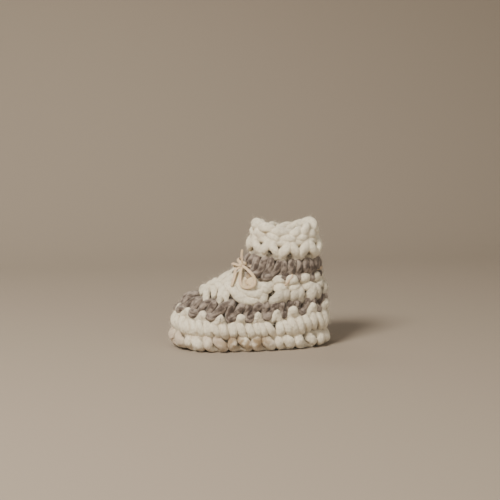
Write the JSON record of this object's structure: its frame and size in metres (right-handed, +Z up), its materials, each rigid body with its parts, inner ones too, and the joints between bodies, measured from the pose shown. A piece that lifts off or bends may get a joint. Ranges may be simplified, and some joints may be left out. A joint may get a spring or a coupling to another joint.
{
  "type": "knitted slipper",
  "caption": "Baby's ankle-high knitted slipper boot in chunky garter stitch, with a felt insole and a thin suede tie bowed at the front.",
  "frame": {"origin": "on the floor, under the middle of the slipper's length and width", "axes": "+X from toe to heel, +Y to the side away from the pictured one, +Z up"},
  "size_m": [0.118, 0.06, 0.0946],
  "materials": {
    "wool_cream": "soft undyed chunky wool, matt",
    "wool_grey": "soft grey-brown chunky wool, matt, for the stripes",
    "felt": "pressed wool felt, matt",
    "suede": "tan suede thong, napped"
  },
  "bodies": {
    "root": {"upper": "wool_cream", "sole": "wool_cream", "insole": "felt", "tie_round": "suede", "tie_knot": "suede", "tie_loop_near": "suede", "tie_loop_far": "suede", "tie_end_standing": "suede", "tie_end_lying": "suede"}
  },
  "joints": []
}
